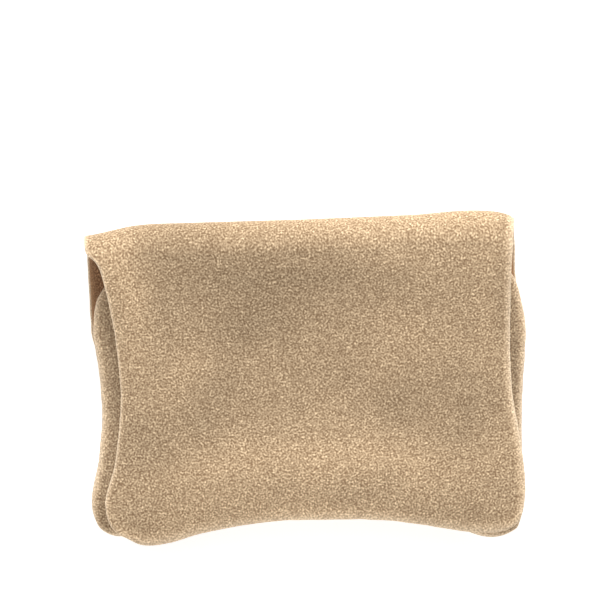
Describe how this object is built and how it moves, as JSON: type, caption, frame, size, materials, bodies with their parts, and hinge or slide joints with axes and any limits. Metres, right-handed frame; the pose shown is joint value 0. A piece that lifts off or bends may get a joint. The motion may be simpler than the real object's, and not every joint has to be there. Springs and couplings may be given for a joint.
{
  "type": "flap wallet",
  "caption": "Small soft suede wallet lying on its back: a slim lined pouch closed by a full-width fold-over flap that wraps over the mouth and is held by a hidden magnetic snap.",
  "frame": {"origin": "middle of the wallet's plan, on the table the back panel rests on", "axes": "+X across the wallet, +Y from the bottom seam towards the fold, +Z from the back panel towards the flap"},
  "size_m": [0.1192, 0.0898, 0.0168],
  "materials": {
    "suede": "napped suede",
    "lining": "fine twill",
    "fleece": "soft felt",
    "slot_leather": "smooth grain",
    "snap_metal": "antique satin",
    "magnet": "matt",
    "thread": "matt"
  },
  "bodies": {
    "pouch": {"back_panel": "suede", "back_lining": "lining", "pocket_front": "suede", "pocket_interlining": "fleece", "pocket_lining": "lining", "mouth_facing": "suede", "card_slot_rear": "slot_leather", "card_slot_front": "slot_leather", "card_slot_stitching": "thread", "pouch_seam_stitching": "thread", "mouth_stitching": "thread", "snap_socket_cap": "snap_metal", "snap_socket_magnet": "magnet", "snap_socket_plate": "snap_metal", "snap_socket_washer": "snap_metal"},
    "fold": {"fold_panel": "suede", "fold_lining": "lining"},
    "flap": {"flap_panel": "suede", "flap_interlining": "fleece", "flap_lining": "lining", "flap_seam_stitching": "thread", "snap_stud_cap": "snap_metal", "snap_stud_plate": "snap_metal", "snap_stud_washer": "snap_metal"}
  },
  "joints": [
    {"name": "fold_rear_bend", "type": "hinge", "parent": "pouch", "child": "fold", "pos_m": [0, 0.0445, 0.0005], "axis": [-1, 0, 0], "range_deg": [0, 90]},
    {"name": "fold_flap_bend", "type": "hinge", "parent": "fold", "child": "flap", "pos_m": [0, 0.0445, 0.0163], "axis": [-1, 0, 0], "range_deg": [0, 90]}
  ],
  "couplings": [
    {"joint": "fold_flap_bend", "follows": "fold_rear_bend", "ratio": 1}
  ]
}
